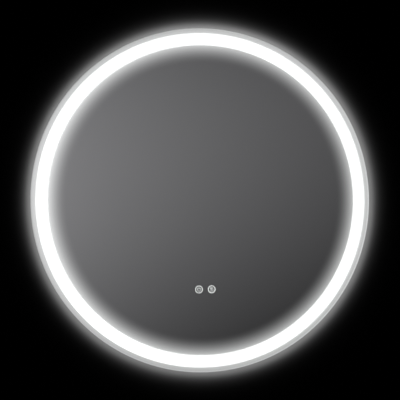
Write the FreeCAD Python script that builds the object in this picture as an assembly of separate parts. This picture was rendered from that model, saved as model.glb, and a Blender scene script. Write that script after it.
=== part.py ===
# A round lighted bathroom mirror, 800 mm across, that hangs on a wall rail.
#
# The glass is a silvered disc with a bare, sandblasted band near its edge. Behind the band runs an
# aluminium light frame: one extrusion, rolled into a ring, with a web, a shelf and an outer wall.
# Straight LED boards stand in a circle on both faces of the shelf. The front ones light the band
# through a flat opal ring, and the rear ones light the wall through a conical opal ring, which
# makes the halo. A sheet-metal panel closes the frame. It carries the driver, the terminals and
# the wiring inside, and a hooked rail outside. The other rail is screwed to the wall, and the
# mirror lifts off it. Two touch keys are etched through the silvering below the middle.
#
# Millimetres. +X is to the right of someone who looks at the mirror, +Z is up, and the wall is the
# plane Y = 0 with the mirror in front of it, at negative Y. The origin is on the wall, at the middle
# of the wall rail's screw line. A "depth" below is a distance from the wall, and a "height" is
# measured from the middle of the glass.
import FreeCAD
import Part
import math
import os

Vector = FreeCAD.Vector

# ---- glass
glass_diameter = 800.0
glass_thickness = 5.0
front_arris = 1.5            # polished bevel round the front edge
rim_margin = 10.0            # silvered rim outside the sandblasted band
band_width = 30.0
silver_thickness = 0.2       # silvering with its two coats of backing paint

# ---- touch keys, etched through the silvering
key_pitch = 30.0
key_height = -209.0
key_ring_radius = 9.0
key_line = 1.2

# ---- light frame, an extrusion rolled into a ring
frame_depth = 26.0
frame_wall = 1.6
chamber_play = 2.0           # how far the light chamber reaches past the band on each side
bond_flange = 14.4           # inner flange under the glass
back_flange = 14.4           # inner flange that takes the panel screws
front_chamber = 12.0         # from the shelf to the frame's front
frame_seam = 0.3             # butt joint of the rolled ring, at the bottom

# ---- foam tape in short strips, because tape can't bend sideways round a ring
tape_count = 18
tape_length = 100.0
tape_width = 9.0
tape_thickness = 0.8

# ---- splice that closes the ring
splice_length = 60.0
splice_thickness = 1.6
splice_rivet_spacing = 36.0
splice_play = 0.5
splice_rivet_radius = 1.6
splice_head_radius = 2.8
splice_head_height = 0.9

# ---- light
board_count = 18             # in each circle
board_gap = 6.0
board_width = 10.0
board_sheet = 1.0
rear_board_inset = 5.0       # from the web to the rear boards
light_line_width = 3.0       # phosphor line on each board
light_line_height = 0.8
light_line_margin = 3.0
front_diffuser_thickness = 2.0
rear_diffuser_thickness = 1.6
diffuser_play = 0.1
diffuser_land = 5.0          # edge of the panel that the rear diffuser stands on

# ---- back panel
panel_sheet = 1.0
vent_length = 26.0
vent_width = 4.0
vent_bevel = 1.2
vent_pitch = 10.0
vent_count = 5
vent_x = 150.0
vent_height = -200.0

# ---- rails that hang the mirror on the wall
rail_sheet = 2.0
rail_play = 0.4              # between any two faces of the nested rails
hook_height = 20.0           # of the wall rail's hook, above its step
hook_reach = 18.0            # of the mirror rail's hook, below its step
rail_base_height = 23.0      # riveted flange of the mirror rail
rail_foot_height = 28.0      # screwed flange of the wall rail
rail_lead_in = 0.6           # bevel on the edges that find each other
screw_line_height = 180.0
wall_rail_length = 380.0
mirror_rail_length = 400.0
wall_hole_radius = 2.75
wall_hole_spacing = 320.0
wall_slot_spacing = 160.0
wall_slot_length = 16.0

# ---- fasteners, six-sided so that the model stays light
small_sides = 6
hole_play = 0.15             # round every screw and rivet
panel_screw_count = 8
panel_screw_radius = 1.8
panel_screw_length = 8.0
screw_head_radius = 3.75
screw_crown_radius = 2.9
screw_head_height = 2.2
rivet_radius = 2.0
rivet_head_radius = 4.0
rivet_crown_radius = 2.6
rivet_head_height = 1.2
rivet_bulb_radius = 3.0
rivet_bulb_height = 2.0
rail_rivet_count = 4
rail_rivet_spacing = 110.0

# ---- soft pads that keep the bottom of the mirror off the wall
pad_size = 20.0
pad_bevel = 5.0
pad_x = 190.0
pad_height = -230.0

# ---- cable entry
grommet_x = 40.0
grommet_height = 60.0
grommet_bore = 4.0
grommet_neck = 15.0
grommet_flange = 21.0
grommet_inner_flange = 18.0
grommet_bevel = 3.0
grommet_outer_lip = 1.4
grommet_inner_lip = 1.8
grommet_play = 0.1

# ---- LED driver
driver_length = 190.0
driver_width = 52.0
driver_height = 20.0
driver_wall = 1.5
driver_bevel = 3.0
driver_centre_height = -60.0
driver_ear_x = 50.0
lid_rim_height = 3.0
lid_play = 0.2
rib_width = 2.0
rib_height = 3.0
circuit_sheet = 1.6
circuit_play = 1.0
transformer_size = (30.0, 26.0, 8.0)
transformer_x = -24.0
coil_size = (14.0, 12.0, 7.0)
coil_x = 16.0
heat_sink_size = (34.0, 3.0, 8.0)
heat_sink_x = -60.0
capacitor_radius = 4.5
capacitor_height = 8.0
capacitor_x = 44.0
capacitor_pitch = 13.0

# ---- ears that the driver and the terminal block are riveted by
ear_length = 12.0
ear_width = 14.0
ear_thickness = 2.0

# ---- mains terminals
terminal_inset = 3.0         # from the driver's right end to the middle of the terminals
terminal_height = 60.0
terminal_size = (42.0, 22.0, 16.0)
terminal_ways = 3
terminal_pitch = 12.0
terminal_well = 6.5
terminal_well_depth = 6.0
terminal_screw_radius = 2.6
terminal_screw_height = 2.4
terminal_notch = 0.8

# ---- earth stud
earth_height = 12.0
earth_stud_radius = 2.0
earth_stud_length = 9.0
earth_washer_radius = 4.5
earth_washer_thickness = 0.8
earth_nut_radius = 4.0
earth_nut_height = 3.2
earth_lug_width = 7.0
earth_lug_length = 12.0
earth_barrel_length = 5.0

# ---- touch key module, stuck to the back of the glass
touch_case_size = (76.0, 34.0)
touch_case_depth = 9.0
touch_case_wall = 1.6
touch_case_bevel = 4.0
touch_ledge = 2.4
touch_play = 0.2
light_guide_size = (50.0, 22.0)
light_guide_thickness = 2.0
touch_plug_size = (11.0, 7.0, 2.8)
touch_chip_size = (9.0, 9.0, 1.4)
touch_relay_size = (16.0, 10.0, 3.0)
touch_part_pitch = 19.0

# ---- demister, a heating film on the back of the glass
demister_size = (420.0, 280.0)
demister_thickness = 0.4
demister_bevel = 20.0
demister_height = 20.0
demister_tab_size = (26.0, 16.0, 5.0)
demister_tab_height = -10.0

# ---- wiring that the housing holds: flat twin leads, laid on saddles
lead_width = 4.0
lead_thickness = 2.0
earth_lead_width = 2.4
lead_depth = 10.7
lead_spread = 14.0           # between leads side by side at the driver
lead_play = 0.2              # round a lead in the hole that it passes through
lead_entry = 7.0             # how far a lead runs into the terminal block
front_lead_angle = 205.0      # where each board lead goes through the web
rear_lead_angle = 215.0
front_lead_run = 55.0         # level run out of the driver
rear_lead_run = 48.0
board_lead_swing = 1.0        # turn still to make where the lead starts to climb
board_lead_climb = 66.0       # from the start of the climb to the web
board_lead_top = 26.0         # from the end of the climb to the web
touch_lead_drop = 24.0        # from the driver to the start of the climb
touch_lead_top = 26.0         # from the end of the climb to the case
demister_lead_drop = 10.0     # from the terminals to the end of the climb
demister_lead_top = 10.0      # from the start of the climb to the tab
saddle_length = 8.0
saddle_width = 12.0
saddle_cover = 2.0
saddle_share = 0.35          # of the run, from its start to the saddle

# ---- places that follow from the sizes above
glass_radius = glass_diameter / 2
band_outer = glass_radius - rim_margin
band_inner = band_outer - band_width
web_outer = band_inner - chamber_play
web_inner = web_outer - frame_wall
wall_inner = band_outer + chamber_play
wall_outer = wall_inner + frame_wall
bond_inner = web_inner - bond_flange
flange_inner = web_inner - back_flange
panel_radius = web_outer + diffuser_land
panel_screw_circle = web_inner - back_flange / 2
front_board_radius = (web_outer + wall_inner) / 2
rear_board_radius = web_outer + rear_board_inset + board_width / 2

rail_gap = rail_sheet + 2 * rail_play
panel_back = 2 * rail_sheet + 3 * rail_play
panel_front = panel_back + panel_sheet
frame_front = panel_front + frame_depth
paint_back = frame_front + tape_thickness
glass_back = paint_back + silver_thickness
glass_front = glass_back + glass_thickness
shelf_front = frame_front - front_chamber
shelf_rear = shelf_front - frame_wall
splice_depth = (shelf_front + frame_front) / 2

seat_height = screw_line_height + rail_foot_height / 2 + rail_sheet + hook_height
rail_rivet_height = seat_height + rail_sheet + rail_base_height / 2

terminal_x = driver_length / 2 - terminal_inset
driver_front = panel_front + driver_height
driver_lid_back = driver_front - driver_wall
circuit_back = panel_front + driver_wall + rib_height
circuit_front = circuit_back + circuit_sheet
circuit_length = driver_length - 2 * driver_wall - 2 * circuit_play
circuit_width = driver_width - 2 * driver_wall - 2 * circuit_play

touch_case_back = paint_back - touch_case_depth
touch_board_front = paint_back - light_guide_thickness
touch_board_back = touch_board_front - circuit_sheet
touch_lead_depth = touch_board_back - touch_plug_size[2] / 2
demister_back = paint_back - demister_thickness
demister_lead_depth = demister_back - demister_tab_size[2] / 2
front_lead_depth = shelf_front + board_sheet + lead_thickness / 2
rear_lead_depth = shelf_rear - board_sheet - lead_thickness / 2


# ---- ways of making a solid

def place(x, depth, height):
    """A point from its distance right of the middle, from the wall and above the middle."""
    return Vector(x, -depth, height)


def out_at(radius, angle, depth):
    """A point at a radius and angle round the glass's axis, from +X towards +Z."""
    turn = math.radians(angle)
    return place(radius * math.cos(turn), depth, radius * math.sin(turn))


def ring(outline, turn=360.0, start=0.0):
    """A solid turned round the glass's axis from (radius, depth) corners."""
    corners = [Vector(radius, -depth, 0) for radius, depth in outline]
    face = Part.Face(Part.makePolygon(corners + corners[:1]))
    solid = face.revolve(Vector(0, 0, 0), Vector(0, 1, 0), turn)
    solid.rotate(Vector(0, 0, 0), Vector(0, 1, 0), start)
    return solid


def flat_ring(inner, outer, near, far):
    """A ring of rectangular section between two depths."""
    return ring([(inner, near), (outer, near), (outer, far), (inner, far)])


def round_bar(radius, near, far, x, height):
    """A cylinder square to the wall, between two depths."""
    return Part.makeCylinder(radius, far - near, place(x, near, height), Vector(0, -1, 0))


def block(width, tall, near, far, x, height):
    """A block square to the wall, between two depths."""
    corner = place(x - width / 2, far, height - tall / 2)
    return Part.makeBox(width, far - near, tall, corner)


def bevelled_block(width, tall, bevel, near, far, x, height):
    """A block whose four long corners are cut off."""
    half, rise = width / 2, tall / 2
    corners = [(-half + bevel, -rise), (half - bevel, -rise), (half, -rise + bevel),
               (half, rise - bevel), (half - bevel, rise), (-half + bevel, rise),
               (-half, rise - bevel), (-half, -rise + bevel)]
    points = [place(x + across, near, height + up) for across, up in corners]
    return Part.Face(Part.makePolygon(points + points[:1])).extrude(Vector(0, near - far, 0))


def slot_bar(length, radius, near, far, x, height):
    """A slot's round-ended shape, along X, between two depths."""
    reach = length / 2 - radius
    ends = [round_bar(radius, near, far, x + side * reach, height) for side in (-1, 1)]
    return block(2 * reach, 2 * radius, near, far, x, height).fuse(ends).removeSplitter()


def along_x(outline, length):
    """A profile of (depth, height) corners drawn out along X, centred."""
    corners = [place(-length / 2, depth, height) for depth, height in outline]
    face = Part.Face(Part.makePolygon(corners + corners[:1]))
    return face.extrude(Vector(length, 0, 0))


def round_the_axis(solid, count):
    """Copies of a solid, evenly spaced round the glass's axis, the first one to the right."""
    copies = []
    for i in range(count):
        copy = solid.copy()
        copy.rotate(Vector(0, 0, 0), Vector(0, -1, 0), 360.0 * i / count)
        copies.append(copy)
    return copies


def many_sided(radius, centre, way, sides=small_sides):
    """A closed polygon round a point, square to a direction."""
    across = way.cross(Vector(0, 0, 1)) if abs(way.z) < 0.9 else way.cross(Vector(1, 0, 0))
    across.normalize()
    up = way.cross(across)
    corners = []
    for i in range(sides):
        turn = 2 * math.pi * (i + 0.5) / sides
        corners.append(centre + across * (radius * math.cos(turn)) + up * (radius * math.sin(turn)))
    return Part.makePolygon(corners + corners[:1])


def small_bar(radius, near, far, x, height, sides=small_sides):
    """A small prism square to the wall, between two depths."""
    outline = many_sided(radius, place(x, near, height), Vector(0, -1, 0), sides)
    return Part.Face(outline).extrude(Vector(0, near - far, 0))


def domed_head(radius, crown, base, rise, x, height):
    """A small head that tapers towards the wall from its base."""
    wires = [many_sided(radius, place(x, base, height), Vector(0, -1, 0)),
             many_sided(crown, place(x, base - rise, height), Vector(0, -1, 0))]
    return Part.makeLoft(wires, True, True)


def rivet(x, height, head_depth, tail_depth):
    """A blind rivet with its domed head towards the wall and its bulb inside."""
    head = domed_head(rivet_head_radius, rivet_crown_radius, head_depth, rivet_head_height,
                      x, height)
    shank = small_bar(rivet_radius, head_depth, tail_depth, x, height)
    bulb = small_bar(rivet_bulb_radius, tail_depth, tail_depth + rivet_bulb_height, x, height)
    return head.fuse([shank, bulb]).removeSplitter()


def rivet_hole(near, far, x, height):
    return small_bar(rivet_radius + hole_play, near, far, x, height)


def radial_block(width, thick, inner, outer, angle, depth):
    """A block that points out from the glass's axis, wide along the rim."""
    solid = Part.makeBox(outer - inner, thick, width, Vector(inner, -depth - thick / 2, -width / 2))
    solid.rotate(Vector(0, 0, 0), Vector(0, -1, 0), angle)
    return solid


def radial_bar(radius, inner, outer, angle, depth):
    """A small prism that points out from the glass's axis."""
    start = out_at(inner, angle, depth)
    way = out_at(1, angle, 0)
    return Part.Face(many_sided(radius, start, way)).extrude(way * (outer - inner))


def group(solids):
    """Separate solids that share one node."""
    return Part.Compound(solids)


# ---- glass, silvering and bonding

def mirror_glass():
    return ring([(0, glass_back), (glass_radius, glass_back),
                 (glass_radius, glass_front - front_arris),
                 (glass_radius - front_arris, glass_front), (0, glass_front)])


def key_places():
    return [-key_pitch / 2, key_pitch / 2]


def silver_field():
    """The mirror layer inside the band, with each key's ring etched out of it."""
    layer = ring([(0, paint_back), (band_inner, paint_back),
                  (band_inner, glass_back), (0, glass_back)])
    for x in key_places():
        etched = round_bar(key_ring_radius, paint_back, glass_back, x, key_height)
        island = round_bar(key_ring_radius - key_line, paint_back, glass_back, x, key_height)
        layer = layer.cut(etched.cut(island))
    return layer


def silver_rim():
    """The mirror layer outside the band."""
    return flat_ring(band_outer, glass_radius, paint_back, glass_back)


def glass_bonding_tape():
    """Strips laid end to end on the inner flange."""
    middle = web_inner - bond_flange / 2
    return group(round_the_axis(block(tape_width, tape_length, frame_front, paint_back,
                                      middle, 0), tape_count))


# ---- light frame

def light_frame():
    outline = [
        (flange_inner, panel_front), (web_outer, panel_front),
        (web_outer, shelf_rear), (wall_outer, shelf_rear),
        (wall_outer, frame_front), (wall_inner, frame_front),
        (wall_inner, shelf_front), (web_outer, shelf_front),
        (web_outer, frame_front), (bond_inner, frame_front),
        (bond_inner, frame_front - frame_wall), (web_inner, frame_front - frame_wall),
        (web_inner, panel_front + frame_wall), (flange_inner, panel_front + frame_wall),
    ]
    seam_angle = math.degrees(frame_seam / front_board_radius)
    solid = ring(outline, 360.0 - seam_angle, 90.0 + seam_angle / 2)
    cuts = [small_bar(panel_screw_radius + hole_play, panel_front, panel_front + frame_wall,
                      x, height) for x, height in panel_screw_places()]
    cuts += [radial_block(lead_width + 2 * lead_play, lead_thickness + 2 * lead_play,
                          web_inner - frame_wall, web_outer + frame_wall, angle, depth)
             for angle, depth in ((front_lead_angle, front_lead_depth),
                                  (rear_lead_angle, rear_lead_depth))]
    return solid.cut(cuts + splice_holes())


def panel_screw_places():
    step = 2 * math.pi / panel_screw_count
    return [(panel_screw_circle * math.cos((i + 0.5) * step),
             panel_screw_circle * math.sin((i + 0.5) * step)) for i in range(panel_screw_count)]


def splice_rivet_angles():
    swing = math.degrees(splice_rivet_spacing / 2 / web_inner)
    return [270.0 - swing, 270.0 + swing]


def splice_holes():
    return [radial_bar(splice_rivet_radius + hole_play, web_inner - 2 * splice_thickness,
                       web_outer + frame_wall, angle, splice_depth)
            for angle in splice_rivet_angles()]


def frame_splice_plate():
    """A curved plate inside the web, across the butt joint."""
    swing = math.degrees(splice_length / web_inner)
    near = panel_front + frame_wall + splice_play
    far = frame_front - frame_wall - splice_play
    inner, outer = web_inner - splice_thickness, web_inner
    plate = ring([(inner, near), (outer, near), (outer, far), (inner, far)],
                 swing, 90.0 - swing / 2)
    return plate.cut(splice_holes())


def splice_rivets():
    inner, outer = web_inner - splice_thickness, web_outer
    solids = []
    for angle in splice_rivet_angles():
        shank = radial_bar(splice_rivet_radius, inner, outer, angle, splice_depth)
        head = radial_bar(splice_head_radius, outer, outer + splice_head_height,
                          angle, splice_depth)
        tail = radial_bar(splice_head_radius, inner - splice_head_height, inner,
                          angle, splice_depth)
        solids.append(shank.fuse([head, tail]).removeSplitter())
    return group(solids)


# ---- light

def front_diffuser():
    """The flat opal ring, stuck by its edges to the paint on both sides of the band."""
    return flat_ring(web_outer + diffuser_play, wall_inner - diffuser_play,
                     paint_back - front_diffuser_thickness, paint_back)


def rear_diffuser():
    """The conical opal ring, clamped between the edge of the panel and the shelf."""
    top = shelf_rear - diffuser_play
    slope = math.atan2(top - panel_front, wall_outer - panel_radius)
    land = rear_diffuser_thickness / math.sin(slope)
    return ring([(panel_radius - land, panel_front), (panel_radius, panel_front),
                 (wall_outer, top), (wall_outer - land, top)])


def board_length(radius):
    return 2 * radius * math.tan(math.pi / board_count) - board_gap


def led_boards(radius, near, far):
    """Straight boards in a circle, each along the side of a polygon."""
    return group(round_the_axis(block(board_width, board_length(radius), near, far, radius, 0),
                                board_count))


def light_lines(radius, near, far):
    """The phosphor line on each board."""
    length = board_length(radius) - 2 * light_line_margin
    return group(round_the_axis(block(light_line_width, length, near, far, radius, 0),
                                board_count))


def front_led_boards():
    return led_boards(front_board_radius, shelf_front, shelf_front + board_sheet)


def front_light_lines():
    base = shelf_front + board_sheet
    return light_lines(front_board_radius, base, base + light_line_height)


def rear_led_boards():
    return led_boards(rear_board_radius, shelf_rear - board_sheet, shelf_rear)


def rear_light_lines():
    base = shelf_rear - board_sheet
    return light_lines(rear_board_radius, base - light_line_height, base)


# ---- back panel and what fixes it

def back_panel():
    """The closing sheet, with its screw and rivet holes, the cable entry and two vents."""
    sheet = ring([(0, panel_back), (panel_radius, panel_back),
                  (panel_radius, panel_front), (0, panel_front)])
    cuts = [small_bar(panel_screw_radius + hole_play, panel_back, panel_front, x, height)
            for x, height in panel_screw_places()]
    cuts += [rivet_hole(panel_back, panel_front, x, height)
             for x, height in rail_rivet_places() + ear_places()]
    neck = grommet_neck + 2 * grommet_play
    cuts.append(block(neck, neck, panel_back, panel_front, grommet_x, grommet_height))
    cuts.append(small_bar(earth_stud_radius + hole_play, panel_back, panel_front,
                          terminal_x, earth_height))
    for side in (-1, 1):
        for i in range(vent_count):
            height = vent_height + (i - (vent_count - 1) / 2) * vent_pitch
            cuts.append(bevelled_block(vent_length, vent_width, vent_bevel, panel_back,
                                       panel_front, side * vent_x, height))
    return sheet.cut(cuts)


def back_panel_screws():
    """Screws with low tapered heads, through the panel into the frame's flange."""
    solids = []
    for x, height in panel_screw_places():
        head = domed_head(screw_head_radius, screw_crown_radius, panel_back, screw_head_height,
                          x, height)
        shank = small_bar(panel_screw_radius, panel_back, panel_back + panel_screw_length,
                          x, height)
        solids.append(head.fuse(shank).removeSplitter())
    return group(solids)


def rail_rivet_places():
    first = -(rail_rivet_count - 1) / 2
    return [((first + i) * rail_rivet_spacing, rail_rivet_height)
            for i in range(rail_rivet_count)]


def panel_rivets():
    """The rivets of the rail, the driver case and the terminal block."""
    solids = [rivet(x, height, panel_back - rail_sheet, panel_front)
              for x, height in rail_rivet_places()]
    solids += [rivet(x, height, panel_back, panel_front + ear_thickness)
               for x, height in ear_places()]
    return group(solids)


def hanging_rail():
    """The mirror's half of the rail: its hook points down, behind the wall rail's hook."""
    base = panel_back - rail_sheet
    top = seat_height + rail_sheet + rail_base_height
    tip = seat_height - hook_reach
    hook_face = rail_play + rail_sheet
    rail = along_x([(panel_back, seat_height), (panel_back, top), (base, top),
                    (base, seat_height + rail_sheet), (rail_play, seat_height + rail_sheet),
                    (rail_play, tip), (hook_face - rail_lead_in, tip),
                    (hook_face, tip + 2 * rail_lead_in), (hook_face, seat_height)],
                   mirror_rail_length)
    return rail.cut([rivet_hole(base, panel_back, x, height)
                     for x, height in rail_rivet_places()])


def wall_rail():
    """The wall's half of the rail: its foot is screwed flat and its hook points up."""
    step_top = seat_height - hook_height
    step_bottom = step_top - rail_sheet
    foot_bottom = step_bottom - rail_foot_height
    hook_near, hook_far = rail_gap, rail_gap + rail_sheet
    rail = along_x([(0, foot_bottom), (rail_sheet, foot_bottom), (rail_sheet, step_bottom),
                    (hook_far, step_bottom), (hook_far, seat_height - 2 * rail_lead_in),
                    (hook_far - rail_lead_in, seat_height),
                    (hook_near + rail_lead_in, seat_height),
                    (hook_near, seat_height - 2 * rail_lead_in), (hook_near, step_top),
                    (0, step_top)], wall_rail_length)
    cuts = []
    for side in (-1, 1):
        cuts.append(round_bar(wall_hole_radius, 0, rail_sheet,
                              side * wall_hole_spacing / 2, screw_line_height))
        cuts.append(slot_bar(wall_slot_length, wall_hole_radius, 0, rail_sheet,
                             side * wall_slot_spacing / 2, screw_line_height))
    return rail.cut(cuts)


def wall_pads():
    return group([bevelled_block(pad_size, pad_size, pad_bevel, 0, panel_back,
                                 side * pad_x, pad_height) for side in (-1, 1)])


def cable_grommet():
    """The square rubber bush, buttoned into the panel, that the supply cable enters through."""
    outer = bevelled_block(grommet_flange, grommet_flange, grommet_bevel,
                           panel_back - grommet_outer_lip, panel_back, grommet_x, grommet_height)
    neck = block(grommet_neck, grommet_neck, panel_back, panel_front, grommet_x, grommet_height)
    inner = bevelled_block(grommet_inner_flange, grommet_inner_flange, grommet_bevel,
                           panel_front, panel_front + grommet_inner_lip,
                           grommet_x, grommet_height)
    bore = round_bar(grommet_bore, panel_back - grommet_outer_lip,
                     panel_front + grommet_inner_lip, grommet_x, grommet_height)
    return outer.fuse([neck, inner]).removeSplitter().cut(bore)


# ---- LED driver

def driver_ear_places():
    reach = driver_width / 2 + ear_length / 2
    return [(-driver_ear_x, driver_centre_height + reach),
            (driver_ear_x, driver_centre_height - reach)]


def terminal_ear_places():
    reach = terminal_size[0] / 2 + ear_length / 2
    return [(terminal_x - reach, terminal_height), (terminal_x + reach, terminal_height)]


def ear_places():
    return driver_ear_places() + terminal_ear_places()


def driver_case():
    """An open tray with two riveted ears, ribs that carry the board, and a mouth per lead."""
    tray = bevelled_block(driver_length, driver_width, driver_bevel, panel_front,
                          driver_lid_back, 0, driver_centre_height)
    tray = tray.fuse([block(ear_width, ear_length, panel_front, panel_front + ear_thickness,
                            x, height) for x, height in driver_ear_places()])
    floor = panel_front + driver_wall
    tray = tray.cut(bevelled_block(driver_length - 2 * driver_wall,
                                   driver_width - 2 * driver_wall, driver_bevel - driver_wall / 2,
                                   floor, driver_lid_back, 0, driver_centre_height))
    ribs = [block(driver_length - 2 * driver_wall, rib_width, floor, circuit_back,
                  0, driver_centre_height + side * driver_width / 4) for side in (-1, 1)]
    tray = tray.fuse(ribs).removeSplitter()
    cuts = [rivet_hole(panel_front, panel_front + ear_thickness, x, height)
            for x, height in driver_ear_places()]
    cuts += [side_mouth(-driver_length / 2, lead_depth, height, 2 * driver_wall)
             for height in board_lead_heights()]
    cuts += [edge_mouth(x, lead_depth, driver_centre_height + side * driver_width / 2,
                        2 * driver_wall)
             for x, side in ((way_places()[0], 1), (touch_plug_x(), -1))]
    return tray.cut(cuts)


def side_mouth(x, depth, height, wall):
    """A hole for a level lead through a wall of a case."""
    half = lead_thickness / 2 + lead_play
    return block(2 * wall, lead_width + 2 * lead_play, depth - half, depth + half, x, height)


def edge_mouth(x, depth, height, wall):
    """A hole for an upright lead through a wall of a case."""
    half = lead_thickness / 2 + lead_play
    return block(lead_width + 2 * lead_play, 2 * wall, depth - half, depth + half, x, height)


def board_lead_heights():
    return [driver_centre_height + lead_spread / 2, driver_centre_height - lead_spread / 2]


def driver_lid():
    """The cover, with a rim that locates it inside the tray."""
    plate = bevelled_block(driver_length, driver_width, driver_bevel, driver_lid_back,
                           driver_front, 0, driver_centre_height)
    inset = 2 * driver_wall + 2 * lid_play
    rim_back = driver_lid_back - lid_rim_height
    rim = bevelled_block(driver_length - inset, driver_width - inset, driver_bevel,
                         rim_back, driver_lid_back, 0, driver_centre_height)
    hollow = block(driver_length - inset - 2 * driver_bevel,
                   driver_width - inset - 2 * driver_wall,
                   rim_back, driver_lid_back, 0, driver_centre_height)
    return plate.fuse(rim.cut(hollow)).removeSplitter()


def driver_board():
    return block(circuit_length, circuit_width, circuit_back, circuit_front,
                 0, driver_centre_height)


def driver_components():
    """The transformer, a coil, the heat sink and two capacitors, standing on the board."""
    solids = []
    for (width, tall, rise), x in ((transformer_size, transformer_x), (coil_size, coil_x),
                                   (heat_sink_size, heat_sink_x)):
        solids.append(block(width, tall, circuit_front, circuit_front + rise,
                            x, driver_centre_height))
    for x in (capacitor_x, capacitor_x + capacitor_pitch):
        solids.append(small_bar(capacitor_radius, circuit_front,
                                circuit_front + capacitor_height, x, driver_centre_height))
    return group(solids)


# ---- terminals and earth

def way_places():
    """The ways: the driver's, the earth's and the demister's."""
    first = -(terminal_ways - 1) / 2
    return [terminal_x + (first + i) * terminal_pitch for i in range(terminal_ways)]


def terminal_bottom():
    return terminal_height - terminal_size[1] / 2


def terminal_block():
    """A three-way block: a screw well from the front and a wire entry from below for each way."""
    width, tall, thick = terminal_size
    top = panel_front + thick
    body = block(width, tall, panel_front, top, terminal_x, terminal_height)
    body = body.fuse([block(ear_length, ear_width, panel_front, panel_front + ear_thickness,
                            x, height) for x, height in terminal_ear_places()])
    cuts = [rivet_hole(panel_front, panel_front + ear_thickness, x, height)
            for x, height in terminal_ear_places()]
    half = lead_thickness / 2 + lead_play
    for x in way_places():
        cuts.append(block(terminal_well, terminal_well, top - terminal_well_depth, top,
                          x, terminal_height))
        cuts.append(block(lead_width + 2 * lead_play, lead_entry, lead_depth - half,
                          lead_depth + half, x, terminal_bottom() + lead_entry / 2))
    return body.removeSplitter().cut(cuts)


def terminal_screws():
    """Slotted clamping screws at the bottoms of the wells."""
    bottom = panel_front + terminal_size[2] - terminal_well_depth
    top = bottom + terminal_screw_height
    solids = []
    for x in way_places():
        screw = small_bar(terminal_screw_radius, bottom, top, x, terminal_height)
        notch = block(2 * terminal_screw_radius, terminal_notch,
                      top - terminal_screw_height / 2, top, x, terminal_height)
        solids.append(screw.cut(notch))
    return group(solids)


def earth_stud():
    """A stud through the panel with a washer, the earth lead's lug and a hexagon nut."""
    x, height = terminal_x, earth_height
    head = small_bar(earth_washer_radius, panel_back - earth_washer_thickness, panel_back,
                     x, height)
    stud = small_bar(earth_stud_radius, panel_back, panel_front + earth_stud_length, x, height)
    lug_back = panel_front + earth_washer_thickness
    lug_front = lug_back + earth_washer_thickness
    washer = small_bar(earth_washer_radius, panel_front, lug_back, x, height)
    tongue = block(earth_lug_width, earth_lug_length, lug_back, lug_front,
                   x, earth_barrel_bottom() - earth_lug_length / 2)
    barrel = block(earth_lug_width, earth_barrel_length, lug_back, lead_depth + lead_thickness,
                   x, earth_barrel_bottom() + earth_barrel_length / 2)
    lug = tongue.fuse(barrel).removeSplitter()
    nut = small_bar(earth_nut_radius, lug_front, lug_front + earth_nut_height, x, height)
    hole = small_bar(earth_stud_radius + hole_play, panel_front,
                     panel_front + earth_stud_length, x, height)
    return group([stud.fuse(head).removeSplitter(), washer.cut(hole), lug.cut(hole),
                  nut.cut(hole)])


def earth_barrel_bottom():
    return earth_height - earth_lug_width / 2 + earth_lug_length


# ---- touch key module

def touch_case():
    """A shallow box open towards the glass, with a ledge that carries the board."""
    width, tall = touch_case_size
    wall = touch_case_wall
    ledge = wall + touch_ledge
    box = bevelled_block(width, tall, touch_case_bevel, touch_case_back, paint_back,
                         0, key_height)
    upper = bevelled_block(width - 2 * wall, tall - 2 * wall, touch_case_bevel - wall / 2,
                           touch_board_back, paint_back, 0, key_height)
    lower = block(width - 2 * ledge, tall - 2 * ledge, touch_case_back + wall,
                  touch_board_back, 0, key_height)
    mouth = edge_mouth(touch_plug_x(), touch_lead_depth, key_height + tall / 2, ledge)
    return box.cut([upper, lower, mouth])


def touch_plug_x():
    return -touch_part_pitch


def touch_board():
    inset = 2 * (touch_case_wall + touch_play)
    return bevelled_block(touch_case_size[0] - inset, touch_case_size[1] - inset,
                          touch_case_bevel, touch_board_back, touch_board_front, 0, key_height)


def touch_light_guide():
    """The milky plate between the board and the etched rings, which spreads the key lights."""
    width, tall = light_guide_size
    return bevelled_block(width, tall, touch_case_bevel, touch_board_front, paint_back,
                          0, key_height)


def touch_board_parts():
    """The plug, the sensing chip and the relay on the back of the board."""
    solids = []
    for (width, tall, thick), step in ((touch_plug_size, -1), (touch_chip_size, 0),
                                       (touch_relay_size, 1)):
        solids.append(block(width, tall, touch_board_back - thick, touch_board_back,
                            step * touch_part_pitch, key_height))
    return group(solids)


# ---- demister

def demister_pad():
    width, tall = demister_size
    return bevelled_block(width, tall, demister_bevel, demister_back, paint_back,
                          0, demister_height)


def demister_tab():
    """The potted block where the leads join the heating film."""
    width, tall, thick = demister_tab_size
    return block(width, tall, demister_back - thick, demister_back,
                 way_places()[2], demister_tab_height)


# ---- wiring

def rounded_path(points):
    """A wire through the points, with an arc at each corner as large as its two runs allow."""
    edges = []
    last = points[0]
    for before, corner, after in zip(points, points[1:], points[2:]):
        back, ahead = (before - corner), (after - corner)
        cut = 0.45 * min(back.Length, ahead.Length)
        turn = math.pi - back.getAngle(ahead)
        radius = cut / math.tan(turn / 2)
        print("    bend of %.0f mm over %.0f degrees" % (radius, math.degrees(turn)))
        back, ahead = back.normalize(), ahead.normalize()
        begin, end = corner + back * cut, corner + ahead * cut
        inward = (back + ahead).normalize()
        middle = corner + inward * (radius / math.cos(turn / 2) - radius)
        edges.append(Part.LineSegment(last, begin).toShape())
        edges.append(Part.Arc(begin, middle, end).toShape())
        last = end
    edges.append(Part.LineSegment(last, points[-1]).toShape())
    return Part.Wire(edges)


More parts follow.
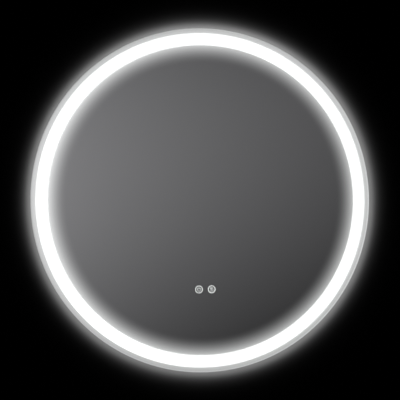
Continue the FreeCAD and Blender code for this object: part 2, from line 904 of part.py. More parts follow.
def lead(name, points, width=lead_width):
    """A flat lead along a path, wide side to the panel, with its volume checked."""
    print("  " + name)
    path = rounded_path(points)
    outward = Vector(0, -1, 0)
    along = (points[1] - points[0]).normalize()
    across = along.cross(outward).normalize()
    rise = across.cross(along).normalize()
    half, thick = width / 2, lead_thickness / 2
    corners = [points[0] + across * (i * half) + rise * (j * thick)
               for i, j in ((-1, -1), (1, -1), (1, 1), (-1, 1))]
    sweep = Part.BRepOffsetAPI.MakePipeShell(path)
    sweep.setBiNormalMode(outward)
    sweep.add(Part.makePolygon(corners + corners[:1]))
    sweep.build()
    sweep.makeSolid()
    solid = Part.Solid(sweep.shape())
    share = solid.Volume / (width * lead_thickness * path.Length)
    print("    %.0f mm long, volume %.3f of its section times its length" % (path.Length, share))
    return solid


def front_lead_points():
    return [
        place(-circuit_length / 2, lead_depth, board_lead_heights()[0]),
        place(-driver_length / 2 - front_lead_run, lead_depth, board_lead_heights()[0]),
        out_at(web_inner - board_lead_climb, front_lead_angle - board_lead_swing, lead_depth),
        out_at(web_inner - board_lead_top, front_lead_angle, front_lead_depth),
        out_at(front_board_radius - light_line_width / 2, front_lead_angle, front_lead_depth),
    ]


def rear_lead_points():
    return [
        place(-circuit_length / 2, lead_depth, board_lead_heights()[1]),
        place(-driver_length / 2 - rear_lead_run, lead_depth, board_lead_heights()[1]),
        out_at(web_inner - board_lead_climb, rear_lead_angle - board_lead_swing, lead_depth),
        out_at(web_inner - board_lead_top, rear_lead_angle, rear_lead_depth),
        out_at(rear_board_radius - light_line_width / 2, rear_lead_angle, rear_lead_depth),
    ]


def touch_lead_points():
    x = touch_plug_x()
    driver_bottom = driver_centre_height - driver_width / 2
    case_top = key_height + touch_case_size[1] / 2
    return [
        place(x, lead_depth, driver_centre_height - circuit_width / 2),
        place(x, lead_depth, driver_bottom - touch_lead_drop),
        place(x, touch_lead_depth, case_top + touch_lead_top),
        place(x, touch_lead_depth, key_height + touch_plug_size[1] / 2),
    ]


def mains_lead_points():
    x = way_places()[0]
    return [
        place(x, lead_depth, terminal_bottom() + lead_entry),
        place(x, lead_depth, driver_centre_height + circuit_width / 2),
    ]


def demister_lead_points():
    x = way_places()[2]
    tab_top = demister_tab_height + demister_tab_size[1] / 2
    return [
        place(x, demister_lead_depth, tab_top),
        place(x, demister_lead_depth, tab_top + demister_lead_top),
        place(x, lead_depth, terminal_bottom() - demister_lead_drop),
        place(x, lead_depth, terminal_bottom() + lead_entry),
    ]


def earth_lead_points():
    return [
        place(terminal_x, lead_depth, terminal_bottom() + lead_entry),
        place(terminal_x, lead_depth, earth_barrel_bottom() + earth_barrel_length),
    ]


def front_board_lead():
    return lead("front board lead", front_lead_points())


def rear_board_lead():
    return lead("rear board lead", rear_lead_points())


def touch_lead():
    return lead("touch lead", touch_lead_points())


def mains_lead():
    return lead("mains lead", mains_lead_points())


def demister_lead():
    return lead("demister lead", demister_lead_points())


def earth_lead():
    return lead("earth lead", earth_lead_points(), earth_lead_width)


def lead_saddles():
    """Stick-on saddles that hold the leads where they run level above the panel."""
    runs = [front_lead_points()[0:2], rear_lead_points()[0:2], mains_lead_points()]
    saddles = []
    for start, end in runs:
        middle = start + (end - start) * saddle_share
        angle = math.degrees(math.atan2(end.z - start.z, end.x - start.x))
        top = lead_depth + lead_thickness / 2 + saddle_cover
        saddle = block(saddle_length, saddle_width, panel_front, top, 0, 0)
        saddle = saddle.cut(block(saddle_length, lead_width,
                                  lead_depth - lead_thickness / 2,
                                  lead_depth + lead_thickness / 2, 0, 0))
        saddle.rotate(Vector(0, 0, 0), Vector(0, -1, 0), angle)
        saddle.translate(Vector(middle.x, 0, middle.z))
        saddles.append(saddle)
    return group(saddles)


# ---- the nodes, each named after the function that makes it

NODES = (
    mirror_glass, silver_field, silver_rim, glass_bonding_tape,
    light_frame, frame_splice_plate, splice_rivets,
    front_diffuser, front_led_boards, front_light_lines,
    rear_diffuser, rear_led_boards, rear_light_lines,
    back_panel, back_panel_screws, panel_rivets, hanging_rail, wall_rail,
    wall_pads, cable_grommet,
    driver_case, driver_lid, driver_board, driver_components,
    terminal_block, terminal_screws, earth_stud,
    touch_case, touch_board, touch_board_parts, touch_light_guide,
    demister_pad, demister_tab,
    front_board_lead, rear_board_lead, touch_lead, mains_lead, demister_lead, earth_lead,
    lead_saddles,
)


def main():
    os.makedirs("parts", exist_ok=True)
    for make in NODES:
        shape = make()
        shape.translate(Vector(0, 0, -screw_line_height))
        shape.exportStep("parts/%s.step" % make.__name__)
        print("%-20s %3d solids, %10.1f mm3, valid %s"
              % (make.__name__, len(shape.Solids), shape.Volume, shape.isValid()))


main()
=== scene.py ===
# A round lighted bathroom mirror, dressed for its photograph.
#
# The file follows the mirror as it is put together: the glass and its silvering, the light behind
# the band and behind the rim, the frame, the back and its fixings, and what the housing holds.
# Metres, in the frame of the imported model: the wall is the plane y = 0, the mirror hangs in front
# of it at negative y, and z = 0 is the wall rail's screw line.
import bmesh
import bpy
import math
from mathutils import Matrix, Vector


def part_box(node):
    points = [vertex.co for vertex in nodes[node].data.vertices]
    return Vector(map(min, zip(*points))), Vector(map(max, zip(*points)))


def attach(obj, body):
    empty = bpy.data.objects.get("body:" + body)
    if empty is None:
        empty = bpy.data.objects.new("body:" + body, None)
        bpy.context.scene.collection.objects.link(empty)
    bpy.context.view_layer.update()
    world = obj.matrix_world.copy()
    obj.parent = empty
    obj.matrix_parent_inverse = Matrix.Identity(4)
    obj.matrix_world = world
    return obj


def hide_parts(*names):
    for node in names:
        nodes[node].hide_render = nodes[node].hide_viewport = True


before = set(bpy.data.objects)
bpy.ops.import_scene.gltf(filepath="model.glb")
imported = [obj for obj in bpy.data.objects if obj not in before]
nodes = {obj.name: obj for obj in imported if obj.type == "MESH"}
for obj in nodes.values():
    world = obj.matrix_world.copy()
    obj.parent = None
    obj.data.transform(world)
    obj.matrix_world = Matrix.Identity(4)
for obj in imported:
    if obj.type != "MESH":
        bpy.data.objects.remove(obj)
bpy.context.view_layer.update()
mm = 0.001

# ---- camera
# It stands a little to the left of the mirror and level with its middle, so that the round glass
# looks 1.7 percent narrower than it is tall.
glass_low, glass_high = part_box("mirror_glass")
middle = Vector((0, 0, (glass_low.z + glass_high.z) / 2))
stand = Vector((0, glass_low.y, middle.z))
aim_left, aim_below = 0.0121, 0.0006
azimuth, elevation, distance = math.radians(-10.5), math.radians(-1.0), 2.24
toward = Vector((math.sin(azimuth) * math.cos(elevation), -math.cos(azimuth) * math.cos(elevation),
                 math.sin(elevation)))
lens = bpy.data.cameras.new("camera")
lens.lens, lens.sensor_width, lens.clip_start = 86.7, 36.0, 0.01
camera = bpy.data.objects.new("camera", lens)
camera.location = stand + toward * distance
aim = stand - Vector((aim_left, 0, aim_below))
camera.rotation_euler = (camera.location - aim).to_track_quat("Z", "Y").to_euler()
bpy.context.scene.collection.objects.link(camera)
bpy.context.scene.camera = camera

# ---- studio
# A dark wall with a painted halo, a pale floor, and a grey card far in front of the mirror that
# glows with painted light, which is what the mirror shows. The wall's paint is brightest round the
# glass, adding to the light the rear diffuser throws on it. Only the camera sees the wall, and only
# its front, so that light reaches the back of the mirror from behind.
scene = bpy.context.scene
scene.view_settings.view_transform = "Standard"
eye_height = 1.45
floor_height = middle.z - eye_height


def add_object(name, mesh):
    thing = bpy.data.objects.new(name, mesh)
    scene.collection.objects.link(thing)
    return thing


def sheet(name, corners, finish):
    """A flat sheet with its finish."""
    mesh = bpy.data.meshes.new(name)
    mesh.from_pydata(corners, [], [tuple(range(len(corners)))])
    mesh.materials.append(finish)
    return add_object(name, mesh)


def new_material(name):
    """A material with only its Principled BSDF, and that node."""
    material = bpy.data.materials.new(name)
    material.use_nodes = True
    tree = material.node_tree
    tree.nodes.clear()
    out = tree.nodes.new("ShaderNodeOutputMaterial")
    shader = tree.nodes.new("ShaderNodeBsdfPrincipled")
    tree.links.new(shader.outputs["BSDF"], out.inputs["Surface"])
    return material, tree, shader


def grey(level):
    return (level, level, level, 1.0)


def math_node(tree, operation, first, second=None, clamp=False):
    """A Math node's output, from numbers or sockets."""
    node = tree.nodes.new("ShaderNodeMath")
    node.operation, node.use_clamp = operation, clamp
    for socket, value in zip(node.inputs, (first, second)):
        if value is None:
            continue
        if isinstance(value, (int, float)):
            socket.default_value = value
        else:
            tree.links.new(value, socket)
    return node.outputs[0]


def weighted_sum(tree, *terms):
    """The sum of some sockets, each times its number."""
    total = None
    for socket, weight in terms:
        part = math_node(tree, "MULTIPLY", socket, weight)
        total = part if total is None else math_node(tree, "ADD", total, part)
    return total


def object_place(tree):
    """The Object coordinates of a point."""
    return tree.nodes.new("ShaderNodeTexCoord").outputs["Object"]


def object_axes(tree):
    """The X, Y and Z of a point's Object coordinates."""
    parts = tree.nodes.new("ShaderNodeSeparateXYZ")
    tree.links.new(object_place(tree), parts.inputs["Vector"])
    return parts.outputs


def from_the_middle(tree, x=0.0):
    """A point's distance from an axis square to the wall, and how far right of and above it is."""
    axes = object_axes(tree)
    across = math_node(tree, "SUBTRACT", axes["X"], x)
    up = math_node(tree, "SUBTRACT", axes["Z"], middle.z)
    squares = weighted_sum(tree, (across, across), (up, up))
    return math_node(tree, "SQRT", squares), across, up


def colour_of(tree, level, shares=(1.0, 1.0, 1.0)):
    """A colour whose red, green and blue are shares of one level."""
    colour = tree.nodes.new("ShaderNodeCombineColor")
    for channel, share in zip(("Red", "Green", "Blue"), shares):
        part = level if share == 1.0 else math_node(tree, "MULTIPLY", level, share)
        tree.links.new(part, colour.inputs[channel])
    return colour.outputs["Color"]


wall_paint, tree, shader = new_material("wall_paint")
# The wall's colour is a painted halo: brightest just outside the glass and fading to a dark wall,
# centred a little right of the glass and brighter on its right.
painted_halo_tone, painted_halo_fade, painted_halo_power, painted_halo_shift = 0.230, 0.0199, 4.3, 0.0078
painted_halo_lean_right, painted_halo_lean_up = 0.84, 0.034
radius, across, up = from_the_middle(tree, painted_halo_shift)
beyond = math_node(tree, "MAXIMUM", math_node(tree, "SUBTRACT", radius, glass_high.x), 0.0)
fall = math_node(tree, "POWER", math_node(tree, "DIVIDE", beyond, painted_halo_fade), painted_halo_power)
tone = math_node(tree, "DIVIDE", painted_halo_tone, math_node(tree, "ADD", fall, 1.0))
lean = weighted_sum(tree, (across, painted_halo_lean_right), (up, painted_halo_lean_up))
tone = math_node(tree, "MULTIPLY", tone, math_node(tree, "ADD", lean, 1.0))
tree.links.new(colour_of(tree, tone), shader.inputs["Base Color"])
shader.inputs["Roughness"].default_value = 1.0
shader.inputs["Specular IOR Level"].default_value = 0.0
facing = tree.nodes.new("ShaderNodeNewGeometry")
path = tree.nodes.new("ShaderNodeLightPath")
clear = tree.nodes.new("ShaderNodeBsdfTransparent")
mix = tree.nodes.new("ShaderNodeMixShader")
unseen = facing.outputs["Backfacing"]
for ray in ("Is Shadow Ray", "Is Glossy Ray", "Is Diffuse Ray"):
    unseen = math_node(tree, "MAXIMUM", unseen, path.outputs[ray])
tree.links.new(unseen, mix.inputs["Fac"])
tree.links.new(shader.outputs["BSDF"], mix.inputs[1])
tree.links.new(clear.outputs["BSDF"], mix.inputs[2])
tree.links.new(mix.outputs["Shader"], tree.nodes["Material Output"].inputs["Surface"])
wall_reach, wall_place, wall_top = 6.0, 0.0006, 2.6
wall = sheet("wall", [
    (-wall_reach, wall_place, floor_height), (wall_reach, wall_place, floor_height),
    (wall_reach, wall_place, wall_top), (-wall_reach, wall_place, wall_top)], wall_paint)

floor_finish, tree, shader = new_material("floor")
floor_tone, floor_reach = 0.62, 9.0
shader.inputs["Base Color"].default_value = grey(floor_tone)
shader.inputs["Roughness"].default_value = 0.8
floor = sheet("floor", [(x * floor_reach, y * floor_reach, floor_height)
                        for x, y in ((-1, -1), (1, -1), (1, 1), (-1, 1))], floor_finish)

# The card is no lamp, yet it glows: its light is painted in a smooth gradient across it.
card_painted_glow, tree, shader = new_material("card")
card_scale, card_middle_x, card_middle_z = 1.01, 0.742, -0.108
card_level, card_drop, card_darkest, card_tint = 0.147, 0.018, 0.01, (1.035, 0.985, 1.035)
card_lean_right, card_lean_up, card_twist, card_bend = -0.51, 0.356, 0.171, -0.5
axes = object_axes(tree)
steps = []
for axis, centre, limit in (("X", card_middle_x, 1.3), ("Z", card_middle_z, 1.2)):
    step = math_node(tree, "DIVIDE", math_node(tree, "SUBTRACT", axes[axis], centre), card_scale)
    steps.append(math_node(tree, "MAXIMUM", math_node(tree, "MINIMUM", step, limit), -limit))
across, up = steps
power = weighted_sum(tree, (across, card_lean_right), (up, card_lean_up),
                     (math_node(tree, "MULTIPLY", across, up), card_twist),
                     (math_node(tree, "MULTIPLY", up, up), card_bend))
tone = math_node(tree, "MULTIPLY", math_node(tree, "EXPONENT", power), card_level)
tone = math_node(tree, "MAXIMUM", math_node(tree, "SUBTRACT", tone, card_drop), card_darkest)
glow = tree.nodes.new("ShaderNodeEmission")
tree.links.new(colour_of(tree, tone, card_tint), glow.inputs["Color"])
tree.links.new(glow.outputs["Emission"], tree.nodes["Material Output"].inputs["Surface"])
card_reach, card_place, card_top = 16.0, -4.0, 9.0
card = sheet("card", [
    (-card_reach, card_place, floor_height), (-card_reach, card_place, card_top),
    (card_reach, card_place, card_top), (card_reach, card_place, floor_height)], card_painted_glow)

world = bpy.data.worlds.new("world")
scene.world = world
world.use_nodes = True
air_tone = 0.30
world.node_tree.nodes["Background"].inputs["Color"].default_value = grey(air_tone)
world.node_tree.nodes["Background"].inputs["Strength"].default_value = 1.0


def soft_lamp(name, place, size, watts, shown=False):
    """A square lamp that faces the mirror, which shiny surfaces show or not."""
    data = bpy.data.lights.new(name, "AREA")
    data.size, data.energy = size, watts
    lamp = bpy.data.objects.new(name, data)
    lamp.location = place
    lamp.rotation_euler = (lamp.location - middle).to_track_quat("Z", "Y").to_euler()
    lamp.visible_glossy = lamp.visible_transmission = shown
    scene.collection.objects.link(lamp)


soft_lamp("key_lamp", (-2.2, -1.8, 1.5), 1.6, 48)
soft_lamp("side_lamp", (2.6, -1.0, 0.6), 1.6, 26)
soft_lamp("back_key_lamp", (-1.8, 2.6, 1.4), 3.6, 54, shown=True)
soft_lamp("back_side_lamp", (2.4, 2.2, 0.2), 3.6, 28, shown=True)

# ---- glass
# A disc of float glass with a polished front arris. Its back is silvered, apart from a sandblasted
# band near the rim, and it is stuck to the frame's inner flange with strips of foam tape.
ring_segments = 384
glass_back, glass_front, glass_radius = 33.2, 38.2, 400.0
band_inner, band_outer = 360.0, 390.0


def add_inputs(tree, *inputs):
    """Named inputs for a tree of nodes, and each one's key."""
    return {name: tree.interface.new_socket(name, in_out="INPUT",
                                            socket_type="NodeSocket" + kind).identifier
            for name, kind in inputs}


def swept_ring_tree():
    """Geometry nodes that sweep an outline round the glass's axis."""
    tree = bpy.data.node_groups.new("swept_ring", "GeometryNodeTree")
    keys = add_inputs(tree, ("Outline", "Geometry"), ("Radius", "Float"), ("Segments", "Int"),
                      ("Middle height", "Float"), ("Finish", "Material"))
    tree.interface.new_socket("Ring", in_out="OUTPUT", socket_type="NodeSocketGeometry")
    given = tree.nodes.new("NodeGroupInput")
    line = tree.nodes.new("GeometryNodeMeshToCurve")
    circle = tree.nodes.new("GeometryNodeCurvePrimitiveCircle")
    sweep = tree.nodes.new("GeometryNodeCurveToMesh")
    merge = tree.nodes.new("GeometryNodeMergeByDistance")
    merge.inputs["Distance"].default_value = 0.01 * mm
    lift = tree.nodes.new("ShaderNodeCombineXYZ")
    stand = tree.nodes.new("GeometryNodeTransform")
    stand.inputs["Rotation"].default_value = (math.pi / 2, 0, 0)
    real = tree.nodes.new("GeometryNodeRealizeInstances")
    finish = tree.nodes.new("GeometryNodeSetMaterial")
    out = tree.nodes.new("NodeGroupOutput")
    for source, target in (
            (given.outputs["Outline"], line.inputs["Mesh"]),
            (given.outputs["Radius"], circle.inputs["Radius"]),
            (given.outputs["Segments"], circle.inputs["Resolution"]),
            (circle.outputs["Curve"], sweep.inputs["Curve"]),
            (line.outputs["Curve"], sweep.inputs["Profile Curve"]),
            (sweep.outputs["Mesh"], merge.inputs["Geometry"]),
            (merge.outputs["Geometry"], stand.inputs["Geometry"]),
            (given.outputs["Middle height"], lift.inputs["Z"]),
            (lift.outputs["Vector"], stand.inputs["Translation"]),
            (stand.outputs["Geometry"], real.inputs["Geometry"]),
            (real.outputs["Geometry"], finish.inputs["Geometry"]),
            (given.outputs["Finish"], finish.inputs["Material"]),
            (finish.outputs["Geometry"], out.inputs["Ring"])):
        tree.links.new(source, target)
    return tree, keys


ring_tree, ring_inputs = swept_ring_tree()


def made_real(thing, name):
    """The object's modifiers worked out into a new object with a plain mesh."""
    graph = bpy.context.evaluated_depsgraph_get()
    mesh = bpy.data.meshes.new_from_object(thing.evaluated_get(graph))
    mesh.name = name
    old = thing.data
    bpy.data.objects.remove(thing)
    if old.users == 0:
        bpy.data.meshes.remove(old)
    solid = bmesh.new()
    solid.from_mesh(mesh)
    if solid.calc_volume(signed=True) < 0:
        bmesh.ops.reverse_faces(solid, faces=solid.faces)
    solid.to_mesh(mesh)
    solid.free()
    return add_object(name, mesh)


def smooth(thing, degrees=25):
    thing.data.shade_smooth()
    thing.data.set_sharp_from_angle(angle=math.radians(degrees))
    return thing


def swept_ring(name, outline, finish, closed=True, segments=ring_segments):
    """A solid of revolution from (radius, depth) corners in millimetres."""
    spine = sum(radius for radius, depth in outline) / len(outline)
    points = [((radius - spine) * mm, -depth * mm, 0) for radius, depth in outline]
    edges = [(i, i + 1) for i in range(len(points) - 1)]
    if closed:
        edges.append((len(points) - 1, 0))
    mesh = bpy.data.meshes.new(name)
    mesh.from_pydata(points, edges, [])
    thing = add_object(name + "_outline", mesh)
    modifier = thing.modifiers.new("swept_ring", "NODES")
    modifier.node_group = ring_tree
    for key, value in (("Radius", spine * mm), ("Segments", segments),
                       ("Middle height", middle.z), ("Finish", finish)):
        modifier[ring_inputs[key]] = value
    return smooth(made_real(thing, name))


def rounded(corners, radii, steps=4, closed=True, hold=0.0, long_side=4.0):
    """An outline whose corners are small arcs, given one radius per corner.

    With a hold, a point that far outside each arc keeps the shading of the long sides flat.
    """
    points = []
    count = len(corners)
    for i, (corner, radius) in enumerate(zip(corners, radii)):
        here = Vector(corner)
        if not radius or (not closed and i in (0, count - 1)):
            points.append(tuple(here))
            continue
        back = (Vector(corners[i - 1]) - here).normalized()
        ahead = (Vector(corners[(i + 1) % count]) - here).normalized()
        half = math.acos(max(-1.0, min(1.0, back.dot(ahead)))) / 2
        cut = radius / math.tan(half)
        start, end = here + back * cut, here + ahead * cut
        centre = here + (back + ahead).normalized() * (radius / math.sin(half))
        first, last = start - centre, end - centre
        if hold and (Vector(corners[i - 1]) - here).length > long_side:
            points.append(tuple(start + back * hold))
        for step in range(steps + 1):
            aside = first.slerp(last, step / steps).normalized()
            points.append(tuple(centre + aside * radius))
        if hold and (Vector(corners[(i + 1) % count]) - here).length > long_side:
            points.append(tuple(end + ahead * hold))
    return points


def noise_at(tree, place, scale, detail):
    """A Noise texture's outputs."""
    noise = tree.nodes.new("ShaderNodeTexNoise")
    noise.inputs["Scale"].default_value, noise.inputs["Detail"].default_value = scale, detail
    tree.links.new(place, noise.inputs["Vector"])
    return noise.outputs


def ranged(tree, value, low, high, from_low=0.0, from_high=1.0):
    """A value that runs from low to high while the given one runs over its own range."""
    node = tree.nodes.new("ShaderNodeMapRange")
    for key, number in (("From Min", from_low), ("From Max", from_high), ("To Min", low),
                        ("To Max", high)):
        node.inputs[key].default_value = number
    tree.links.new(value, node.inputs["Value"])
    return node.outputs["Result"]


def bumped(tree, height, strength, distance, shader):
    """Gives a shader a relief of so many millimetres."""
    bump = tree.nodes.new("ShaderNodeBump")
    bump.inputs["Strength"].default_value = strength
    bump.inputs["Distance"].default_value = distance * mm
    tree.links.new(height, bump.inputs["Height"])
    tree.links.new(bump.outputs["Normal"], shader.inputs["Normal"])


def glass_material(name, colour):
    material, tree, shader = new_material(name)
    shader.inputs["Base Color"].default_value = (*colour, 1.0)
    shader.inputs["Transmission Weight"].default_value = 1.0
    shader.inputs["IOR"].default_value = 1.52
    return material, tree, shader


clear_glass, tree, shader = glass_material("clear_glass", (0.975, 1.0, 0.99))
wipes = noise_at(tree, object_place(tree), 9.0, 6.0)["Fac"]
tree.links.new(ranged(tree, wipes, 0.0, 0.02, 0.55, 0.8), shader.inputs["Roughness"])

frosted_glass, tree, shader = glass_material("frosted_glass", (0.985, 1.0, 0.995))
pits = noise_at(tree, object_place(tree), 2600.0, 2.0)["Fac"]
tree.links.new(ranged(tree, pits, 0.45, 0.7), shader.inputs["Roughness"])
bumped(tree, pits, 0.25, 0.02, shader)

arris, seam, hold, slack = 1.5, 0.4, 0.5, 0.05
glass_outline = rounded(
    [(0, glass_back), (band_inner, glass_back), (band_outer, glass_back),
     (glass_radius - seam, glass_back), (glass_radius, glass_back + seam),
     (glass_radius, glass_front - arris), (glass_radius - arris, glass_front), (0, glass_front)],
    [0, 0, 0, 0.15, 0.15, 0.4, 0.4, 0], closed=False, hold=hold)
glass = swept_ring("glass", glass_outline, clear_glass, closed=False)
glass.data.materials.append(frosted_glass)
for face in glass.data.polygons:
    reach = math.hypot(face.center.x, face.center.z - middle.z) / mm
    if -face.center.y / mm < glass_back + slack and band_inner < reach < band_outer:
        face.material_index = 1
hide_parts("mirror_glass")
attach(glass, "mirror")

# ---- silvering
# Silver and two coats of backing paint on the back of the glass, in two pieces: the field inside
# the band and the rim outside it. Both have a painted glow near the band, emitted from the silver
# in place of light that strays through the glass from the band. The two touch keys are etched
# through the field: a switch sign and a demister sign.
silver_back, silver_front = 33.0, 33.22
# The painted glow's reach, sharpness, brightness and lean to one side, in the field and in the rim.
field_reach, field_power, field_painted_glow_level, field_painted_glow_lean = 43.0, 2.3, 0.505, -0.3
rim_reach, rim_power, rim_painted_glow_level, rim_painted_glow_lean = 40.0, 1.0, 0.52, 0.28


def painted_band_glow_group():
    """A painted glow in the silvering near the lit band, as a colour, for light that strays into
    it.
    """
    group = bpy.data.node_groups.new("band_glow", "ShaderNodeTree")
    add_inputs(group, *[(name, "Float")
                        for name in ("Band edge", "Reach", "Power", "Level", "Lean")])
    group.interface.new_socket("Colour", in_out="OUTPUT", socket_type="NodeSocketColor")
    given, out = group.nodes.new("NodeGroupInput"), group.nodes.new("NodeGroupOutput")
    radius, across = from_the_middle(group)[:2]
    away = math_node(group, "ABSOLUTE",
                     math_node(group, "SUBTRACT", given.outputs["Band edge"], radius))
    near = math_node(group, "SUBTRACT", 1.0, math_node(group, "DIVIDE", away,
                                                       given.outputs["Reach"]), clamp=True)
    level = math_node(group, "MULTIPLY", math_node(group, "POWER", near, given.outputs["Power"]),
                      given.outputs["Level"])
    lean = math_node(group, "ADD", 1.0, math_node(group, "MULTIPLY", across,
                                                  given.outputs["Lean"]))
    level = math_node(group, "MULTIPLY", level, lean)
    group.links.new(colour_of(group, level), out.inputs["Colour"])
    return group


band_glow = painted_band_glow_group()


def between(tree, share, first, last):
    """A colour between two, by a share from 0 to 1."""
    ramp = tree.nodes.new("ShaderNodeValToRGB")
    for element, colour in zip(ramp.color_ramp.elements, (first, last)):
        element.color = (*colour, 1.0)
    tree.links.new(share, ramp.inputs["Fac"])
    return ramp.outputs["Color"]


def silvering(name, edge, reach, power, level, lean):
    """Silver with a painted glow near one edge of the band, a little brighter to one side."""
    material, tree, shader = new_material(name)
    shader.inputs["Metallic"].default_value = 1.0
    cloud = noise_at(tree, object_place(tree), 3.0, 4.0)["Fac"]
    tree.links.new(between(tree, cloud, (0.86, 0.885, 0.88), (0.90, 0.915, 0.905)),
                   shader.inputs["Base Color"])
    tree.links.new(ranged(tree, cloud, 0.0, 0.012), shader.inputs["Roughness"])
    # Painted glow, emitted from the silver, for light straying in from the band.
    painted_stray_glow = tree.nodes.new("ShaderNodeGroup")
    painted_stray_glow.node_tree = band_glow
    for key, value in (("Band edge", edge), ("Reach", reach), ("Power", power),
                       ("Level", level), ("Lean", lean)):
        painted_stray_glow.inputs[key].default_value = value
    tree.links.new(painted_stray_glow.outputs["Colour"], shader.inputs["Emission Color"])
    shader.inputs["Emission Strength"].default_value = 1.0
    return material


field_silver = silvering("field_silver", band_inner * mm, field_reach * mm, field_power,
                         field_painted_glow_level, field_painted_glow_lean)
rim_silver = silvering("rim_silver", band_outer * mm, rim_reach * mm, rim_power, rim_painted_glow_level,
                       rim_painted_glow_lean)

field = swept_ring("field", [(0, silver_back), (band_inner, silver_back),
                             (band_inner, silver_front), (0, silver_front)],
                   field_silver, closed=False)
rim = swept_ring("rim", [(band_outer, silver_back), (glass_radius - seam, silver_back),
                         (glass_radius - seam, silver_front), (band_outer, silver_front)],
                 rim_silver)

key_height, key_middle, key_x = -208.4, 1.2, 15.0
key_ring, key_line = 8.7, 1.1


def strip(points, width):
    """A closed outline of even width round an open line of (x, height) points."""
    left, right = [], []
    for i, point in enumerate(points):
        before, after = points[max(i - 1, 0)], points[min(i + 1, len(points) - 1)]
        along = (Vector(after) - Vector(before)).normalized()
        side = Vector((-along.y, along.x)) * (width / 2)
        left.append(Vector(point) + side)
        right.append(Vector(point) - side)
    return left + right[::-1]


def arc(radius, start, end, steps=40, centre=(0, 0)):
    return [(centre[0] + radius * math.cos(math.radians(start + (end - start) * i / steps)),
             centre[1] + radius * math.sin(math.radians(start + (end - start) * i / steps)))
            for i in range(steps + 1)]


def close_prism(shape, rows):
    """The two ends of a prism and the sides between them, from its two rows of corners."""
    count = len(rows[0])
    shape.faces.new(rows[0])
    shape.faces.new(rows[1][::-1])
    for i in range(count):
        shape.faces.new((rows[0][i], rows[1][i], rows[1][(i + 1) % count],
                         rows[0][(i + 1) % count]))


def add_prism(shape, outline, near, far, x=0.0, height=0.0):
    """A prism square to the wall, from an outline in millimetres, added to a bmesh."""
    close_prism(shape, [[
        shape.verts.new(((x + a) * mm, -depth * mm, (height + b) * mm + middle.z))
        for a, b in outline] for depth in (near, far)])


def object_from(solid, name):
    """An object from a bmesh, which is used up, with its faces turned outwards."""
    bmesh.ops.recalc_face_normals(solid, faces=solid.faces)
    mesh = bpy.data.meshes.new(name)
    solid.to_mesh(mesh)
    solid.free()
    return add_object(name, mesh)


def cutter_from(shapes, near, far, name):
    """One object that holds a prism for each (outline, x, height)."""
    solid = bmesh.new()
    for outline, x, height in shapes:
        add_prism(solid, outline, near, far, x, height)
    return object_from(solid, name)


def cut_from(thing, cutter):
    """The object less the cutter, which is used up."""
    name, finish = thing.name, list(thing.data.materials)
    modifier = thing.modifiers.new("cut", "BOOLEAN")
    modifier.operation, modifier.solver, modifier.object = "DIFFERENCE", "EXACT", cutter
    thing.name = name + "_uncut"
    made = made_real(thing, name)
    bpy.data.objects.remove(cutter)
    made.data.materials.clear()
    for material in finish:
        made.data.materials.append(material)
    return smooth(made)


def wave(x, low, high, swing, steps=16):
    """A line that rises in one wave, for a demister's sign."""
    return [(x + swing * math.sin(2 * math.pi * i / steps), low + (high - low) * i / steps)
            for i in range(steps + 1)]


def annulus(outer, inner, near, far, x, height, name, sides=96):
    """A flat ring square to the wall."""
    solid = bmesh.new()
    loops = [[solid.verts.new(((x + a) * mm, -depth * mm, (height + b) * mm + middle.z))
              for a, b in arc(radius, 0, 360, sides)[:-1]]
             for radius, depth in ((outer, near), (outer, far), (inner, far), (inner, near))]
    for first, second in zip(loops, loops[1:] + loops[:1]):
        for i in range(sides):
            solid.faces.new((first[i], first[(i + 1) % sides], second[(i + 1) % sides], second[i]))
    return object_from(solid, name)


sign_line = 0.65
switch_sign = [strip(arc(3.9, 120, 420, 48), sign_line), strip([(0, 1.0), (0, 5.4)], sign_line)]
demister_sign = [strip(wave(x, -2.4, 4.8, 0.7), sign_line) for x in (-2.8, 0.0, 2.8)]
demister_sign.append(strip([(-4.0, -4.0), (4.0, -4.0)], sign_line))
marks = [(outline, key_middle - key_x, key_height) for outline in switch_sign]
marks += [(outline, key_middle + key_x, key_height) for outline in demister_sign]
cut_past = 0.5
mark_back, mark_front = silver_back - cut_past, silver_front + cut_past
field = cut_from(field, cutter_from(marks, mark_back, mark_front, "key_signs"))
for side in (-1, 1):
    field = cut_from(field, annulus(key_ring, key_ring - key_line, mark_back, mark_front,
                                    key_middle + side * key_x, key_height, "key_ring"))
for piece, node in ((field, "silver_field"), (rim, "silver_rim")):
    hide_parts(node)
    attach(piece, "mirror")

# ---- diffusers
# Two rings of opal acrylic. The flat one lies behind the sandblasted band. The conical one closes
# the back of the frame's rim and throws light on the wall, where the wall's painted halo adds to
# it.


def opal(name, strength, dim=0.0, fade=1.0):
    """Opal acrylic that glows. With a dim, the band's edges are that dim over a fade in mm."""
    material, tree, shader = new_material(name)
    milk = noise_at(tree, object_place(tree), 60.0, 3.0)["Fac"]
    glow = between(tree, milk, (0.90, 0.905, 0.90), (0.94, 0.945, 0.94))
    tree.links.new(glow, shader.inputs["Base Color"])
    if dim:
        radius = from_the_middle(tree)[0]
        inside = math_node(tree, "SUBTRACT", radius, band_inner * mm)
        outside = math_node(tree, "SUBTRACT", band_outer * mm, radius)
        near = math_node(tree, "DIVIDE", math_node(tree, "MINIMUM", inside, outside), fade * mm,
                         clamp=True)
        share = math_node(tree, "ADD", math_node(tree, "MULTIPLY", near, 1.0 - dim), dim)
        edges = tree.nodes.new("ShaderNodeVectorMath")
        edges.operation = "SCALE"
        tree.links.new(glow, edges.inputs["Vector"])
        tree.links.new(share, edges.inputs["Scale"])
        glow = edges.outputs["Vector"]
    tree.links.new(glow, shader.inputs["Emission Color"])
    shader.inputs["Emission Strength"].default_value = strength
    shader.inputs["Roughness"].default_value = 0.45
    return material


